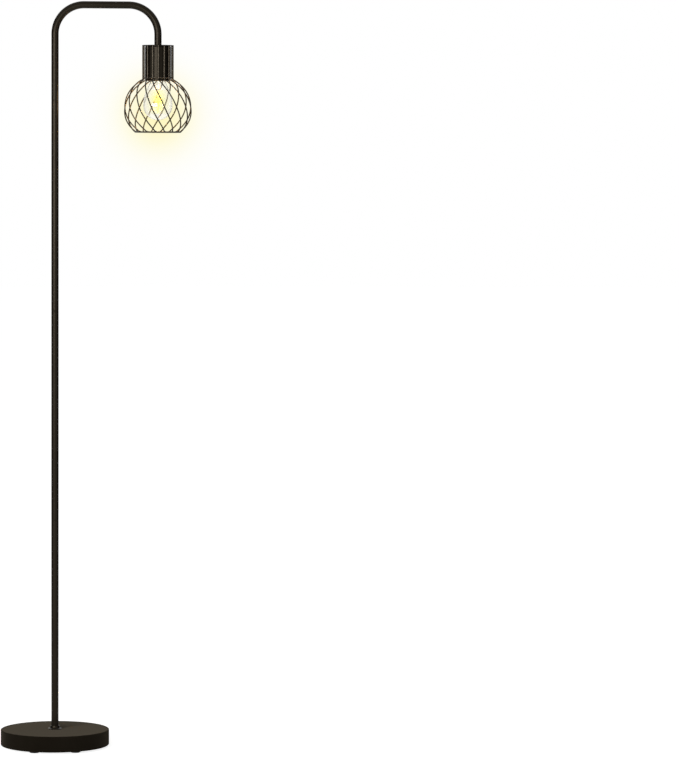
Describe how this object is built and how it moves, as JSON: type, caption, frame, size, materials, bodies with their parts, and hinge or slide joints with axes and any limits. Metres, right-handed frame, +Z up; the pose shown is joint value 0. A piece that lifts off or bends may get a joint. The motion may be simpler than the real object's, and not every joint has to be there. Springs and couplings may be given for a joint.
{
  "type": "floor lamp",
  "caption": "Floor lamp: round weighted base, screwed tube pole arching over, and a hanging globe of slanting wires round a clear filament bulb that draws out downwards.",
  "frame": {"origin": "on the floor under the pole's axis; the base's flat underside is 5.5 mm above it", "axes": "+Z up the pole, +X from the pole towards the lamp head, -Y the front of the lamp, with the cord outlet at the rear"},
  "size_m": [0.4202, 0.2418, 1.65],
  "materials": {
    "bronze_coat": "satin dark bronze powder coat",
    "cast_filling": "cast cement",
    "plate_steel": "black painted sheet",
    "foot_rubber": "matte",
    "grommet_rubber": "satin",
    "zinc_steel": "zinc plated",
    "lead_sheath": "satin",
    "socket_phenolic": "moulded",
    "socket_porcelain": "glazed",
    "shell_brass": "rolled",
    "clear_glass": "clear blown",
    "base_brass": "rolled",
    "black_glass": "glossy",
    "solder_tip": "solder",
    "stem_glass": "clear",
    "hook_wire": "drawn wire",
    "filament": "glowing"
  },
  "bodies": {
    "lamp": {"base_cover": "bronze_coat", "base_filling": "cast_filling", "base_plate": "plate_steel", "base_feet": "foot_rubber", "base_stud": "zinc_steel", "base_washer": "zinc_steel", "base_nut": "zinc_steel", "base_collar": "bronze_coat", "cord_grommet": "grommet_rubber", "pole_lower": "bronze_coat", "pole_middle": "bronze_coat", "pole_upper": "bronze_coat", "arm_bend": "bronze_coat", "tube_inserts": "bronze_coat", "pole_nipples": "zinc_steel", "lead_wire": "lead_sheath", "cage_top_plate": "bronze_coat", "cage_neck_ring": "bronze_coat", "cage_rim_ring": "bronze_coat", "cage_wire_01": "bronze_coat", "cage_wire_02": "bronze_coat", "cage_wire_03": "bronze_coat", "cage_wire_04": "bronze_coat", "cage_wire_05": "bronze_coat", "cage_wire_06": "bronze_coat", "cage_wire_07": "bronze_coat", "cage_wire_08": "bronze_coat", "cage_wire_09": "bronze_coat", "cage_wire_10": "bronze_coat", "cage_wire_11": "bronze_coat", "cage_wire_12": "bronze_coat", "cage_wire_13": "bronze_coat", "cage_wire_14": "bronze_coat", "cage_wire_15": "bronze_coat", "cage_wire_16": "bronze_coat", "head_nipple": "zinc_steel", "socket_cup": "bronze_coat", "lock_washer": "zinc_steel", "lock_nut": "zinc_steel", "socket_cap": "socket_phenolic", "socket_body": "socket_porcelain", "socket_screw_shell": "shell_brass", "socket_contact": "shell_brass"},
    "bulb": {"bulb_glass": "clear_glass", "bulb_screw_base": "base_brass", "bulb_insulator": "black_glass", "bulb_contact": "solder_tip", "bulb_stem": "stem_glass", "bulb_hooks": "hook_wire", "bulb_filament": "filament"}
  },
  "joints": [
    {"name": "bulb_unscrew", "type": "slide", "parent": "lamp", "child": "bulb", "axis": [0, 0, -1], "range_m": [0, 0.175]}
  ]
}
